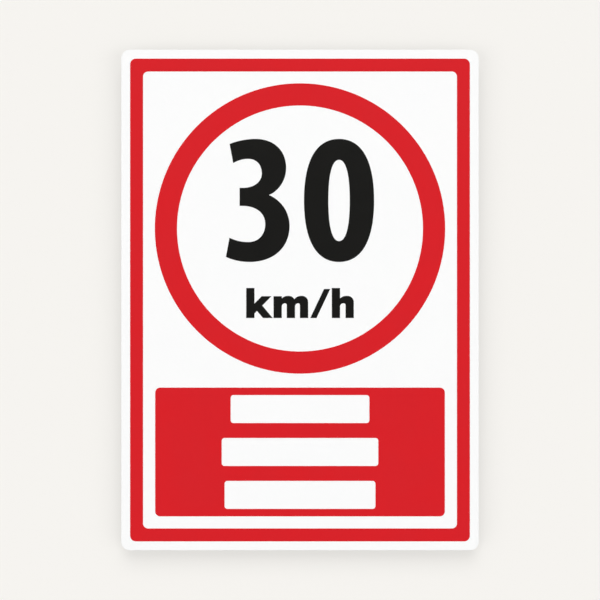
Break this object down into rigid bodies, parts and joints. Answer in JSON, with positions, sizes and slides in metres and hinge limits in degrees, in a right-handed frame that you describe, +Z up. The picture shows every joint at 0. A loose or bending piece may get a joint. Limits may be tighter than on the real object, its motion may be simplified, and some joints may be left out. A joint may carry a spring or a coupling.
{
  "type": "speed limit sign",
  "caption": "Flat wall plate that states a speed limit: rigid white sheet with a red border, a red ring round black numerals, and a red caption field holding plain bars.",
  "frame": {"origin": "middle of the flat back face", "axes": "+Z up the sign, +X to the right as the sign is read, and the printed face looks towards -Y"},
  "size_m": [0.25, 0.0031, 0.35],
  "materials": {
    "white_sheet": "satin",
    "red_film": "satin",
    "black_film": "satin"
  },
  "bodies": {
    "root": {"panel": "white_sheet", "border_film": "red_film", "ring_film": "red_film", "caption_field_film": "red_film", "numeral_3": "black_film", "numeral_0": "black_film"}
  },
  "joints": []
}
